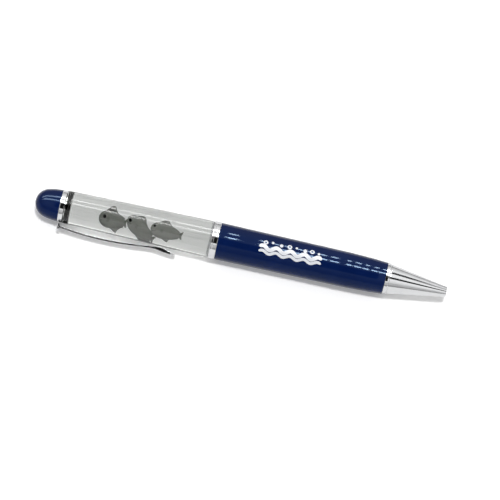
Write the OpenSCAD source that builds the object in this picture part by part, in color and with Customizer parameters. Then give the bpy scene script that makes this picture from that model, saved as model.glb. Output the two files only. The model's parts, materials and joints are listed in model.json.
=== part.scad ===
// Twist-action ballpoint pen with a clear, oil-filled window in which three small sharks drift.
// Turning the lower half drives the refill out of the nose through a helical slot.
// Millimetres. Every piece is drawn along +Z, from the cap to the point, with the clip towards +X,
// and is then laid on the ground with the point towards +X and the clip on the ground.

/* [Overall] */
// Length from the top of the cap to the end of the nose
pen_length = 140.4; // [139:0.2:145]
// Gap between faces that turn or slide on each other
turn_gap = 0.06; // [0.04:0.01:0.09]
// Radial gap of pieces that are pushed or glued into one another
seat_gap = 0.02; // [0.01:0.01:0.03]

/* [End cap] */
// Height of the domed cap
cap_height = 8.5; // [7.5:0.1:10]
// Radius of the cap where it meets the clip band
cap_radius = 5.3; // [5.2:0.05:5.4]
// Radius of the cap's rounded end
cap_end_radius = 4.8; // [4.4:0.1:5]

/* [Clip] */
// Length of the metal band that holds the clip
clip_band_length = 1.6; // [1.5:0.1:2]
// Radius of the metal band that holds the clip
clip_band_radius = 5.4; // [5.35:0.05:5.5]
// Length of the clip along the pen
clip_length = 40.5; // [37:0.5:44]
// Width of the clip at its heel
clip_width = 4.8; // [4.2:0.1:5.2]
// Width of the clip near its tip
clip_tip_width = 4; // [3.6:0.1:4.4]
// Distance from the clip's heel to the middle of its bow
clip_bow_run = 14; // [12:0.5:17]
// Thickness of the clip's sheet metal
clip_thick = 0.7; // [0.6:0.05:0.8]
// Gap between the clip's heel and the tube
clip_heel_gap = 0.9; // [0.7:0.05:1.2]
// Gap between the clip and the tube at the middle of its bow
clip_bow_gap = 1.6; // [1.4:0.05:2]
// Gap between the clip and the tube where it grips
clip_grip_gap = 0.2; // [0.15:0.05:0.5]
// Gap between the clip's raised tip and the tube
clip_tip_gap = 1.55; // [1.2:0.05:1.8]

/* [Window tube] */
// Length of the clear tube between the two metal bands
tube_length = 50.1; // [47:0.5:54]
// Radius of the tube at the clip band
tube_top_radius = 5.55; // [5.5:0.05:5.7]
// Radius of the tube at the centre band
tube_low_radius = 6.2; // [6.1:0.05:6.3]
// Radius of the bore that holds the oil
chamber_radius = 4.5; // [4.4:0.05:4.6]

/* [Sharks] */
// Length of the middle shark
shark_length = 10.3; // [9.5:0.1:10.8]
// Height of its body without the fins
shark_height = 3.3; // [2.9:0.1:3.5]
// Thickness of its body
shark_thick = 1.6; // [1.4:0.05:1.65]
// Lean of the diving middle shark, in degrees
shark_dive = 17; // [10:1:20]

/* [Centre band] */
// Length of the metal band between the two halves
band_length = 2.1; // [1.8:0.1:3]
// How far that band stands proud of the tube
band_stand = 0.15; // [0.1:0.05:0.3]

/* [Lower half] */
// Radius of the barrel at the nose
barrel_end_radius = 5.3; // [5.25:0.05:5.5]
// How much the barrel narrows before its shoulder
barrel_taper = 0.28; // [0.2:0.02:0.4]
// Length of the rounded shoulder between the barrel and the nose
shoulder_run = 15.4; // [12:0.2:18]
// Length of the metal nose with its collar
nose_length = 21; // [19:0.5:23]
// Radius of the flat end of the nose
nose_end_radius = 1.7; // [1.65:0.05:1.9]

/* [Twist mechanism] */
// Turn of the lower half from retracted to writing, in degrees
twist_angle = 180; // [160:5:195]
// How far the turn drives the refill
travel = 5.4; // [4.8:0.1:6]
// Radius of the lug that follows the helical slot
lug_radius = 0.7; // [0.6:0.05:0.75]

/* [Refill] */
// Radius of the short metal refill
refill_radius = 1.175; // [1.15:0.005:1.18]
// Length of the short metal refill
refill_length = 67; // [66:0.5:68]
// How deep the retracted point lies inside the nose
point_recess = 1.8; // [1.4:0.1:2.2]

/* [Hidden] */
$fn = 96;

navy = [0.03, 0.07, 0.24];
chrome = [0.80, 0.81, 0.83];
clear = [0.90, 0.92, 0.94, 0.4];
oil = [0.93, 0.94, 0.92, 0.3];
shark_grey = [0.42, 0.43, 0.40];
black_rubber = [0.05, 0.05, 0.05];
white_plastic = [0.88, 0.89, 0.90];
brass = [0.75, 0.58, 0.28];
steel = [0.62, 0.63, 0.65];
ink_blue = [0.04, 0.06, 0.30];

// Sides of the widest arcs, whose radius is many times the pen's
fine = 1440;
// Small chamfer on the edges of the metal bands and collars
edge = 0.2;
// Reach of cutting shapes past the faces they open
past = 0.5;

// Stations along the pen, measured from the top of the cap
tube_start = cap_height + clip_band_length;
tube_end = tube_start + tube_length;
band_end = tube_end + band_length;
barrel_start = band_end + turn_gap;
nose_start = pen_length - nose_length;
barrel_length = nose_start - barrel_start;
point_station = pen_length - point_recess;
refill_start = point_station - refill_length;

function tube_radius(z) =
    tube_top_radius + (tube_low_radius - tube_top_radius) * (z - tube_start) / tube_length;

// Clear tube: a plain neck under the centre band, a bevel under the clip band
tube_neck_radius = 5.55;
tube_bevel = 0.3;
band_radius = tube_low_radius + band_stand;

// Twist mechanism: a fixed core with a straight slot inside a turning sleeve with a helical slot
core_flange = 1;
washer_thick = 0.6;
sleeve_land = 3;
slot_clear = 0.07;
slot_reach = lug_radius + slot_clear;
lug_wall = 1.2;
mechanism_length = core_flange + washer_thick + turn_gap + sleeve_land + slot_reach + lug_radius + lug_wall;

// Sealing plugs with a groove for a rubber ring each; the lower one ends at the centre band,
// or higher in the tube where a longer refill and the mechanism behind it need the room
plug_end = min(band_end, refill_start - mechanism_length);
plug_radius = chamber_radius - seat_gap;
seal_section = 0.4;
seal_radius = plug_radius - seal_section;
groove_floor = seal_radius - seal_section;
seal_play = 0.1;
groove_width = 2 * seal_section + seal_play;
plug_lip = 0.4;
top_plug_start = tube_start + plug_lip;
top_plug_end = top_plug_start + groove_width + 2 * plug_lip;
bottom_plug_start = plug_end - band_length - 2 * plug_lip;
bottom_groove = plug_end - band_length + plug_lip;
cap_stem_radius = 2.45;
cap_stem_length = 5;
cap_stem_start = cap_height - cap_stem_length;

// Clip: a bent strip whose neck passes through a window in its band
neck_station = cap_height + clip_band_length / 2;
clip_start = neck_station - clip_thick / 2;
clip_end = clip_start + clip_length;
clip_play = 0.2;
neck_width = 2.4;
foot_width = 3.6;
foot_depth = 0.7;
foot_clear = 0.3;
foot_start = cap_stem_radius + foot_clear;
clip_band_bore = 4;
strip_lap = 0.02;
heel_bend = 0.9;
grip_bend = 8;
grip_back = 5.7;
bow_station = clip_start + clip_bow_run;
grip_station = clip_end - grip_back;
heel_radius = tube_radius(tube_start) + clip_heel_gap + clip_thick / 2;
bow_radius = tube_radius(bow_station) + clip_bow_gap + clip_thick / 2;
grip_radius = tube_radius(grip_station) + clip_grip_gap + clip_thick / 2;
tip_radius = tube_radius(clip_end) + clip_tip_gap + clip_thick / 2;
bow_corner = 2 * bow_radius - (heel_radius + grip_radius) / 2;
clip_path = [
    [foot_start, neck_station], [heel_radius, neck_station], [bow_corner, bow_station],
    [grip_radius, grip_station], [tip_radius, clip_end]
];
bow_share = 0.9;
bow_reach = bow_share * min(bow_station - neck_station, grip_station - bow_station);
bow_turn = acos(unit(clip_path[2] - clip_path[1]) * unit(clip_path[3] - clip_path[2]));
bow_bend = bow_reach / tan(bow_turn / 2);
clip_bends = [0, heel_bend, bow_bend, grip_bend, 0];

function unit(v) = v / norm(v);
function left_of(v) = [-v[1], v[0]];
function turn_sign(a, b) = sign(a[0] * b[1] - a[1] * b[0]);
// Direction of the strip after point i of its path, and the length a bend takes from both sides
function heading(i) = unit(clip_path[i + 1] - clip_path[i]);
function bend_reach(i) = clip_bends[i] * tan(acos(heading(i - 1) * heading(i)) / 2);
function strip_reach(i) = clip_bends[i] > 0 ? bend_reach(i) : 0;

// Resting roll of the pen: the bow of the clip and the centre band both meet the ground
bow_centre = clip_path[2] - bow_reach * heading(1)
    + turn_sign(heading(1), heading(2)) * bow_bend * left_of(heading(1));
bow_outer = bow_centre[0] + bow_bend + clip_thick / 2;
bow_half_width = (clip_width + (clip_tip_width - clip_width) * (bow_centre[1] - clip_start) / clip_length) / 2;
clip_drop = asin(band_radius / norm([bow_outer, bow_half_width])) - atan(bow_half_width / bow_outer);
clip_side = bow_outer * cos(clip_drop) + bow_half_width * sin(clip_drop);
axis_side = (clip_side - band_radius) / 2;

// Sharks, each in its own lane of the bore, heads towards the cap
lane_gap = 0.2;
lane = shark_thick + lane_gap;
front_size = 0.95;
rear_size = 1.08;
chamber_length = bottom_plug_start - top_plug_end;
front_share = 0.205;
middle_share = 0.401;
rear_share = 0.58;
front_station = top_plug_end + front_share * chamber_length;
middle_station = top_plug_end + middle_share * chamber_length;
rear_station = top_plug_end + rear_share * chamber_length;
front_drop = 0.5;
middle_drop = 1.4;
rear_drop = 0.65;
front_lean = 1;
rear_lean = 2.5;
oil_film = 0.05;
nose_share = 0.38;
tail_share = 0.26;
body_share = 0.88;
taper_power = 0.9;
snout_cut = 0.004;
body_rings = 18;
body_sides = 16;
fin_thick = 0.5;

// Pieces of the twist mechanism, stacked on the lower plug; the sleeve always reaches into the barrel
core_radius = 3.2;
core_flange_radius = 4.1;
guide_radius = 2.3;
stem_radius = 1.9;
stem_length = 3;
sleeve_radius = 4.28;
sleeve_seat = 8;
ring_thick = 0.7;
ring_radius = 3.9;
ring_floor = 2.85;
ring_gap = 60;
core_tail = 0.9;
washer_start = plug_end + core_flange;
sleeve_start = washer_start + washer_thick + turn_gap;
lug_station = sleeve_start + sleeve_land + slot_reach;
sleeve_end = max(lug_station + travel + slot_reach + sleeve_land, barrel_start + sleeve_seat);
ring_start = sleeve_end + turn_gap;
core_end = ring_start + ring_thick + core_tail;
helix_slope = travel / (twist_angle * PI / 180);
slot_mid_radius = (core_radius + sleeve_radius) / 2;
slot_half_angle = slot_reach / sin(atan(helix_slope / slot_mid_radius)) / slot_mid_radius * 180 / PI;
slot_turn = twist_angle * (travel + 2 * slot_reach) / travel;
lug_start_angle = 90;
lug_short = 0.15;
lug_end = sleeve_radius - lug_short;

// Refill and its carriage
refill_wall = 0.2;
refill_grip = 5;
carriage_head = 2;
carriage_radius = guide_radius - turn_gap;
carriage_start = lug_station - carriage_head;
carriage_end = refill_start + refill_grip;
tip_length = 7.5;
tip_shank = 2;
tip_straight = 2.6;
tip_lip_radius = 0.42;
ball_radius = 0.35;
ball_show = 0.2;
ball_station = point_station - ball_radius;
tip_start = point_station - tip_length;
lip_station = point_station - ball_show;

// Lower barrel and nose
barrel_shoulder = barrel_length - shoulder_run;
shoulder_radius = tube_low_radius - barrel_taper;
taper_angle = atan(barrel_taper / barrel_shoulder);
shoulder_drop = shoulder_radius - barrel_end_radius;
shoulder_bend = (pow(shoulder_run, 2) + pow(shoulder_drop, 2))
    / (2 * (shoulder_drop * cos(taper_angle) - shoulder_run * sin(taper_angle)));
shoulder_station = barrel_start + barrel_shoulder;
barrel_bore = sleeve_radius + seat_gap;
barrel_waist = 3;
mechanism_room = 1.5;
spigot_length = 8;
spigot_radius = 3.95;
spigot_bore = 2.7;
collar_length = 1.2;
collar_step = 0.08;
collar_radius = barrel_end_radius - collar_step;
collar_line = 0.25;
cone_step = 0.2;
cone_base_radius = collar_radius - cone_step;
cone_start = nose_start + collar_length + collar_line;
nose_play = 0.12;
nose_bore = refill_radius + nose_play;
nose_guide = 4.5;

// Lays a piece drawn along the pen's own axis on the ground
module lay() {
    translate([-pen_length / 2, axis_side, band_radius])
        rotate([clip_drop - 90, 0, 0])
            rotate([0, 90, 0])
                children();
}

// Section of a plain ring between two radii and two stations
module zone(r0, r1, z0, z1) {
    translate([r0, z0])
        square([r1 - r0, z1 - z0]);
}

// Section of a ring with both outer edges chamfered
module edged_zone(r0, r1, z0, z1) {
    polygon([
        [r0, z0], [r1 - edge, z0], [r1, z0 + edge], [r1, z1 - edge], [r1 - edge, z1], [r0, z1]
    ]);
}

// Part of a disc on one side of the axis, between two stations
module arc_zone(centre, radius, z0, z1) {
    intersection() {
        translate(centre)
            circle(radius, $fn = fine);
        zone(0, 2 * tube_low_radius, z0, z1);
    }
}

// Domed cap: an end arc that runs into a longer side arc, with a blind socket for the plug's stem
module end_cap() {
    side_bend = (pow(cap_height - cap_end_radius, 2) + pow(cap_radius, 2) - pow(cap_end_radius, 2))
        / (2 * (cap_radius - cap_end_radius));
    side_centre = [cap_radius - side_bend, cap_height];
    join = [0, cap_end_radius] + cap_end_radius * unit([0, cap_end_radius] - side_centre);
    color(navy)
        lay()
            rotate_extrude()
                difference() {
                    union() {
                        arc_zone([0, cap_end_radius], cap_end_radius, 0, join[1]);
                        arc_zone(side_centre, side_bend, join[1], cap_height);
                    }
                    zone(0, cap_stem_radius + seat_gap, cap_stem_start - edge, cap_height + past);
                }
}

// Metal band under the cap, with a window in its wall for the clip's neck
module clip_band() {
    window_height = clip_thick + 2 * clip_play;
    color(chrome)
        lay()
            difference() {
                rotate_extrude()
                    edged_zone(clip_band_bore, clip_band_radius, cap_height, tube_start);
                translate([clip_band_bore - past, -neck_width / 2 - clip_play, neck_station - window_height / 2])
                    cube([clip_band_radius, neck_width + 2 * clip_play, window_height]);
            }
}

// Straight run of the clip's strip after point i of its path
module strip_run(i) {
    from = clip_path[i] + (strip_reach(i) - strip_lap) * heading(i);
    to = clip_path[i + 1] - (strip_reach(i + 1) - strip_lap) * heading(i);
    side = left_of(heading(i)) * clip_thick / 2;
    polygon([from - side, to - side, to + side, from + side]);
}

// Bend of the clip's strip at point i of its path
module strip_bend(i) {
    turn = turn_sign(heading(i - 1), heading(i));
    from = clip_path[i] - strip_reach(i) * heading(i - 1);
    to = clip_path[i] + strip_reach(i) * heading(i);
    centre = from + turn * clip_bends[i] * left_of(heading(i - 1));
    middle = unit((from + to) / 2 - centre) * 2 * clip_bends[i];
    intersection() {
        translate(centre)
            difference() {
                circle(clip_bends[i] + clip_thick / 2, $fn = fine);
                circle(clip_bends[i] - clip_thick / 2, $fn = fine);
            }
        polygon([
            centre, centre + 2 * (from - centre), centre + middle, centre + 2 * (to - centre)
        ]);
    }
}

// Spring clip: one bent strip, tapered towards a rounded tip, with a narrow neck and a foot
module clip() {
    last = len(clip_path) - 1;
    reach = 2 * bow_corner;
    color(chrome)
        lay()
            difference() {
                intersection() {
                    rotate([90, 0, 0])
                        linear_extrude(clip_width, center = true)
                            union() {
                                for (i = [0 : last - 1])
                                    strip_run(i);
                                for (i = [1 : last - 1])
                                    strip_bend(i);
                            }
                    rotate([90, 0, 90])
                        linear_extrude(reach)
                            union() {
                                polygon([
                                    [-clip_width / 2, clip_start - past], [clip_width / 2, clip_start - past],
                                    [clip_tip_width / 2, clip_end - clip_tip_width / 2],
                                    [-clip_tip_width / 2, clip_end - clip_tip_width / 2]
                                ]);
                                translate([0, clip_end - clip_tip_width / 2])
                                    circle(clip_tip_width / 2);
                            }
                }
                for (side = [-1, 1]) {
                    translate([foot_start + foot_depth, side * (neck_width + reach) / 2, neck_station])
                        translate([0, -reach / 2, -clip_thick])
                            cube([clip_band_radius + clip_play - foot_start - foot_depth, reach, 2 * clip_thick]);
                    translate([0, side * (foot_width + reach) / 2 - reach / 2, neck_station - clip_thick])
                        cube([clip_band_radius, reach, 2 * clip_thick]);
                }
            }
}

// Plug that closes the tube under the cap, with a stem for the cap and a groove for its rubber ring
module top_plug() {
    color(chrome)
        lay()
            rotate_extrude()
                difference() {
                    union() {
                        zone(0, cap_stem_radius, cap_stem_start, top_plug_end);
                        zone(0, clip_band_bore - clip_play, tube_start, top_plug_end);
                        zone(0, plug_radius, top_plug_start, top_plug_end);
                    }
                    zone(groove_floor, plug_radius + past, top_plug_start + plug_lip, top_plug_end - plug_lip);
                }
}

// Rubber ring between a plug and the bore of the tube
module seal(z) {
    color(black_rubber)
        lay()
            translate([0, 0, z])
                rotate_extrude()
                    translate([seal_radius, 0])
                        circle(seal_section);
}

module top_seal() {
    seal(top_plug_start + plug_lip + groove_width / 2);
}

module bottom_seal() {
    seal(bottom_groove + groove_width / 2);
}

// Clear tapered tube with a straight bore and a neck that takes the centre band
module window_tube() {
    color(clear)
        lay()
            rotate_extrude()
                difference() {
                    union() {
                        polygon([
                            [0, tube_start], [tube_top_radius - tube_bevel, tube_start],
                            [tube_radius(tube_start + tube_bevel), tube_start + tube_bevel],
                            [tube_low_radius, tube_end], [0, tube_end]
                        ]);
                        zone(0, tube_neck_radius, tube_end, band_end);
                    }
                    zone(0, chamber_radius, tube_start - past, band_end + past);
                }
}

// Oil that fills the bore between the plugs and lies all round the sharks
module float_oil() {
    color(oil)
        lay()
            difference() {
                translate([0, 0, top_plug_end])
                    cylinder(r = chamber_radius, h = bottom_plug_start - top_plug_end);
                front_figure(oil_film);
                middle_figure(oil_film);
                rear_figure(oil_film);
            }
}

// Fullness of a shark's body along its length, from the blunt snout to the root of the tail
function fullness(u) = u < nose_share
    ? sqrt(1 - pow(1 - u / nose_share, 2))
    : tail_share + (1 - tail_share) * pow(cos(90 * (u - nose_share) / (1 - nose_share)), taper_power);

// Body of a shark, snout at the origin and tail towards +Z, its back towards -X
module shark_body(film) {
    stations = [for (i = [0 : body_rings]) snout_cut + (1 - snout_cut) * pow(i / body_rings, 1.5)];
    rings = [for (u = stations, k = [0 : body_sides - 1])
        let (a = 360 * k / body_sides)
        [(shark_height / 2 * fullness(u) + film) * cos(a),
         (shark_thick / 2 * fullness(u) + film) * sin(a),
         shark_length * body_share * u + film * (2 * u - 1)]];
    sides = [for (i = [0 : body_rings - 1], k = [0 : body_sides - 1])
        let (n = (k + 1) % body_sides)
        [i * body_sides + k, (i + 1) * body_sides + k, (i + 1) * body_sides + n, i * body_sides + n]];
    snout = [for (k = [0 : body_sides - 1]) k];
    stump = [for (k = [0 : body_sides - 1]) (body_rings + 1) * body_sides - 1 - k];
    polyhedron(rings, concat(sides, [snout, stump]));
}

// Flat fin in the shark's middle plane, its corners given as shares of the shark's length
module fin(corners, film) {
    rotate([90, 0, 0])
        linear_extrude(fin_thick + 2 * film, center = true)
            offset(delta = film)
                polygon(shark_length * corners);
}

// One shark: body, back fin, belly fin and forked tail, turned about the middle of its length
module shark(film) {
    translate([0, 0, -shark_length / 2]) {
        shark_body(film);
        fin([[-0.10, 0.24], [-0.26, 0.38], [-0.285, 0.43], [-0.12, 0.58]], film);
        fin([[0.10, 0.30], [0.195, 0.45], [0.21, 0.51], [0.09, 0.55]], film);
        fin([[-0.03, 0.82], [-0.11, 0.95], [-0.12, 0.99], [-0.03, 0.95], [0.02, 0.945],
             [0.10, 0.975], [0.10, 0.935], [0.03, 0.82]], film);
    }
}

module front_figure(film) {
    translate([front_drop, lane, front_station + front_size * shark_length / 2])
        rotate([0, front_lean, 0])
            scale(front_size)
                shark(film);
}

module middle_figure(film) {
    translate([middle_drop, 0, middle_station + shark_length / 2])
        rotate([0, shark_dive, 0])
            shark(film);
}

module rear_figure(film) {
    translate([rear_drop, -lane, rear_station + rear_size * shark_length / 2])
        rotate([0, rear_lean, 0])
            scale(rear_size)
                shark(film);
}

module shark_front() {
    color(shark_grey)
        lay()
            front_figure(0);
}

module shark_middle() {
    color(shark_grey)
        lay()
            middle_figure(0);
}

module shark_rear() {
    color(shark_grey)
        lay()
            rear_figure(0);
}

// Plug that closes the tube at the centre band and carries the twist core on its stem
module bottom_plug() {
    color(white_plastic)
        lay()
            rotate_extrude()
                difference() {
                    union() {
                        zone(0, plug_radius, bottom_plug_start, plug_end);
                        zone(0, stem_radius, plug_end, plug_end + stem_length);
                    }
                    zone(groove_floor, plug_radius + past, bottom_groove, bottom_groove + groove_width);
                }
}

// Bright band between the two halves
module centre_band() {
    color(chrome)
        lay()
            rotate_extrude()
                edged_zone(tube_neck_radius + seat_gap, band_radius, tube_end, band_end);
}

// Fixed core of the twist mechanism: a tube with a straight slot that stops the lug turning
module twist_core() {
    color(steel)
        lay()
            difference() {
                rotate_extrude()
                    difference() {
                        union() {
                            zone(0, core_radius, plug_end, core_end);
                            zone(0, core_flange_radius, plug_end, washer_start);
                        }
                        zone(0, stem_radius + seat_gap, plug_end - past, core_end + past);
                        zone(0, guide_radius, plug_end + stem_length, core_end + past);
                        zone(ring_floor, core_radius + past, ring_start, ring_start + ring_thick);
                    }
                rotate([0, 0, lug_start_angle])
                    translate([0, -slot_reach, lug_station - slot_reach])
                        cube([core_radius + past, 2 * slot_reach, travel + 2 * slot_reach]);
            }
}

// Slippery washer that steadies the turn
module friction_washer() {
    color(white_plastic)
        lay()
            rotate_extrude()
                zone(core_radius + seat_gap, core_flange_radius, washer_start, washer_start + washer_thick);
}

// Open snap ring that keeps the sleeve on the core
module retaining_ring() {
    color(steel)
        lay()
            rotate([0, 0, lug_start_angle + 180 + ring_gap / 2])
                rotate_extrude(angle = 360 - ring_gap)
                    zone(ring_floor + seat_gap, ring_radius, ring_start, ring_start + ring_thick);
}

// Turning sleeve with the helical slot that drives the lug
module cam_sleeve() {
    slot_radius = sleeve_radius + past;
    slot_side = slot_radius / cos(slot_half_angle);
    color(brass)
        lay()
            difference() {
                rotate_extrude()
                    zone(core_radius + turn_gap, sleeve_radius, sleeve_start, sleeve_end);
                translate([0, 0, lug_station - slot_reach])
                    rotate([0, 0, lug_start_angle + twist_angle * slot_reach / travel])
                        linear_extrude(travel + 2 * slot_reach, twist = slot_turn, slices = 60, $fn = 4)
                            polygon([
                                [0, 0], [slot_radius, -slot_side * sin(slot_half_angle)],
                                [slot_radius, slot_side * sin(slot_half_angle)]
                            ]);
            }
}

// Carriage that slides in the core and holds the tail of the refill
module refill_carriage() {
    color(white_plastic)
        lay()
            difference() {
                rotate_extrude()
                    difference() {
                        zone(0, carriage_radius, carriage_start, carriage_end);
                        zone(0, refill_radius + seat_gap, refill_start, carriage_end + past);
                    }
                translate([0, 0, lug_station])
                    rotate([0, 90, lug_start_angle])
                        cylinder(r = lug_radius + seat_gap, h = 3 * carriage_radius, center = true);
            }
}

// Cross pin of the carriage, long enough to reach through both slots
module drive_lug() {
    color(steel)
        lay()
            translate([0, 0, lug_station])
                rotate([0, 90, lug_start_angle])
                    translate([0, 0, -carriage_radius + edge])
                        cylinder(r = lug_radius, h = lug_end + carriage_radius - edge);
}

// Metal tube of the refill, open at its tail
module refill_tube() {
    color(brass)
        lay()
            rotate_extrude()
                zone(refill_radius - refill_wall, refill_radius, refill_start, tip_start);
}

// Writing paste inside the refill
module ink_column() {
    color(ink_blue)
        lay()
            rotate_extrude()
                zone(0, refill_radius - refill_wall - seat_gap, refill_start + refill_grip, tip_start - tip_shank);
}

// Turned brass point with a seat for the ball and a feed hole behind it
module refill_tip() {
    shank_radius = refill_radius - refill_wall - seat_gap;
    feed_radius = ball_radius / 2;
    color(brass)
        lay()
            rotate_extrude()
                difference() {
                    polygon([
                        [0, tip_start - tip_shank], [shank_radius, tip_start - tip_shank],
                        [shank_radius, tip_start], [refill_radius, tip_start],
                        [refill_radius, tip_start + tip_straight],
                        [tip_lip_radius, lip_station], [0, lip_station]
                    ]);
                    translate([0, ball_station])
                        circle(ball_radius + seat_gap);
                    zone(0, feed_radius, tip_start - tip_shank - past, ball_station);
                }
}

// Hard ball that rolls in the seat of the point
module writing_ball() {
    color(steel)
        lay()
            translate([0, 0, ball_station])
                sphere(ball_radius);
}

// Lacquered barrel: a slight taper that runs tangent into a rounded shoulder at the nose
module lower_barrel() {
    bend_centre = [
        shoulder_radius - shoulder_bend * cos(taper_angle),
        shoulder_station - shoulder_bend * sin(taper_angle)
    ];
    color(navy)
        lay()
            rotate_extrude()
                difference() {
                    union() {
                        polygon([
                            [0, barrel_start], [tube_low_radius, barrel_start],
                            [shoulder_radius, shoulder_station], [0, shoulder_station]
                        ]);
                        arc_zone(bend_centre, shoulder_bend, shoulder_station, nose_start);
                    }
                    zone(0, barrel_bore, barrel_start - past, core_end + mechanism_room);
                    zone(0, barrel_waist, barrel_start, nose_start);
                    zone(0, spigot_radius + seat_gap, nose_start - spigot_length - turn_gap, nose_start + past);
                }
}

// Bright nose: a collar, a fine dark line and a long straight cone, bored for the refill
module nose_cone() {
    bore_turn = pen_length - nose_guide;
    color(chrome)
        lay()
            rotate_extrude()
                difference() {
                    union() {
                        zone(0, spigot_radius, nose_start - spigot_length, nose_start);
                        edged_zone(0, collar_radius, nose_start, nose_start + collar_length);
                        zone(0, cone_base_radius - edge, nose_start, cone_start);
                        polygon([
                            [0, cone_start], [cone_base_radius, cone_start],
                            [nose_end_radius, pen_length], [0, pen_length]
                        ]);
                    }
                    polygon([
                        [0, nose_start - spigot_length - past], [spigot_bore, nose_start - spigot_length - past],
                        [spigot_bore, cone_start], [nose_bore, bore_turn],
                        [nose_bore, pen_length + past], [0, pen_length + past]
                    ]);
                }
}

end_cap();
clip_band();
clip();
top_plug();
top_seal();
window_tube();
float_oil();
shark_front();
shark_middle();
shark_rear();
bottom_plug();
bottom_seal();
centre_band();
twist_core();
friction_washer();
retaining_ring();
cam_sleeve();
refill_carriage();
drive_lug();
refill_tube();
ink_column();
refill_tip();
writing_ball();
lower_barrel();
nose_cone();
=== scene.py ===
import json
import math

import bmesh
import bpy
from mathutils import Matrix, Vector


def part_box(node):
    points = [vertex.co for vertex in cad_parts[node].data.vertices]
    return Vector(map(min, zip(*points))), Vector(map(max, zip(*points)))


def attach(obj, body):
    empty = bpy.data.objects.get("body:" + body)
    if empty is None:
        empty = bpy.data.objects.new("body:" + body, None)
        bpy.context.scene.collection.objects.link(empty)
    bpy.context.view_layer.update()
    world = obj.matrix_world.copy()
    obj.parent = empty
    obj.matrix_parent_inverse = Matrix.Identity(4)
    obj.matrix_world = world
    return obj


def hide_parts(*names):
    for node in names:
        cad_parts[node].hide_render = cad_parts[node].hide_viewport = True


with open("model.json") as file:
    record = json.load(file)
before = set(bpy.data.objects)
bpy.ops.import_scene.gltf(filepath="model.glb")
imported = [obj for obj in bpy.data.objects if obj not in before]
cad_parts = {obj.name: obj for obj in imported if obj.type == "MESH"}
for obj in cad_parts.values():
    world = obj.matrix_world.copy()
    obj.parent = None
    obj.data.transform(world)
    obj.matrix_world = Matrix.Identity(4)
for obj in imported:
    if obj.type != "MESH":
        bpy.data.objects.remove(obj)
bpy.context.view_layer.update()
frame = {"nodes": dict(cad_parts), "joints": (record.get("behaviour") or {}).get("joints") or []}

# End cap: a bullet-shaped cap moulded in plastic and sprayed with gloss navy lacquer. It is pushed onto
# the stem of the upper plug and holds the clip's band against the tube. The lacquer has the slight orange
# peel of spraying, greasy smears, and a rub along its rim.
mm = 0.001
# The pen lies with its point to the right, rolled until the bow of the clip touches the table.
along = Vector((1, 0, 0))
clip_lift = next(joint for joint in frame["joints"] if joint["name"] == "clip_lift")
across = Vector(clip_lift["axis"]).normalized()
out = across.cross(along)
band_low, band_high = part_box("centre_band")
pen_end = (band_low + band_high) / 2
pen_end.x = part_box("end_cap")[0].x


def place(station, side=0.0, lift=0.0):
    """Point of the pen, from millimetres along it from the end of the cap, towards the clip, and across."""
    return pen_end + mm * (station * along + side * out + lift * across)


def span(node):
    """Stations at which a node of the frame starts and ends."""
    low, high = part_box(node)
    return (low.x - pen_end.x) / mm, (high.x - pen_end.x) / mm


cap_end_bow = 4.8
cap_bow_join = 74.6
cap_side_bow = 18.74
cap_side_end = 89.2
cap_edge = 0.1
cap_rim_radius = 5.3
cap_rim_station = span("end_cap")[1]
cap_socket_radius = 2.47
cap_socket_station = 3.3
cap_haze = 0.09
navy = (0.002, 0.0095, 0.062, 1)
navy_thin = (0.003, 0.0125, 0.078, 1)
navy_rubbed = (0.035, 0.055, 0.16, 1)
lacquer_gleam = (0.52, 0.74, 1.0, 1)
crisp_angle = 30


def bow(centre_station, centre_radius, radius, first, last, steps):
    """Run of a section along an arc; its angles start from the cap's end and go out from the axis."""
    run = []
    for k in range(steps + 1):
        angle = math.radians(first + (last - first) * k / steps)
        run.append((centre_station - radius * math.cos(angle), centre_radius + radius * math.sin(angle)))
    return run


def eased(corners, steps=4):
    """Section with rounded corners. A corner is (station, radius) or (station, radius, rounding)."""
    section = []
    for i, (station, radius, *rounding) in enumerate(corners):
        if not rounding:
            section.append((station, radius))
            continue
        corner = Vector((station, radius))
        back = (Vector(corners[i - 1][:2]) - corner).normalized()
        on = (Vector(corners[(i + 1) % len(corners)][:2]) - corner).normalized()
        half = math.acos(max(-1, min(1, back.dot(on)))) / 2
        centre = corner + (back + on).normalized() * rounding[0] / math.sin(half)
        start = corner + back * rounding[0] / math.tan(half) - centre
        end = corner + on * rounding[0] / math.tan(half) - centre
        swing = math.atan2(start.x * end.y - start.y * end.x, start.dot(end))
        for k in range(steps + 1):
            a = swing * k / steps
            section.append((centre.x + start.x * math.cos(a) - start.y * math.sin(a),
                            centre.y + start.x * math.sin(a) + start.y * math.cos(a)))
    return section


def turned(section, sides=128):
    """Points and faces of a piece turned round the pen's line from a closed section of (station, radius).
    A long straight run has a row close to each end, so that smooth shading leaves it straight."""
    points, rows, faces, outline = [], [], [], []
    long_run = 1.2
    end_row = 0.2
    for one, two in zip(section, section[1:] + section[:1]):
        outline.append(one)
        run = math.dist(one, two)
        if run > long_run:
            for share in (end_row / run, 1 - end_row / run):
                outline.append(tuple(a + (b - a) * share for a, b in zip(one, two)))
    for station, radius in outline:
        if radius < 1e-6:
            rows.append([len(points)] * sides)
            points.append(place(station))
            continue
        rows.append([len(points) + k for k in range(sides)])
        for k in range(sides):
            clock = 2 * math.pi * k / sides
            points.append(place(station, radius * math.cos(clock), radius * math.sin(clock)))
    for one, two in zip(rows, rows[1:] + rows[:1]):
        for k in range(sides):
            n = (k + 1) % sides
            corners = list(dict.fromkeys((one[k], one[n], two[n], two[k])))
            if len(corners) > 2:
                faces.append(corners)
    return points, faces


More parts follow.
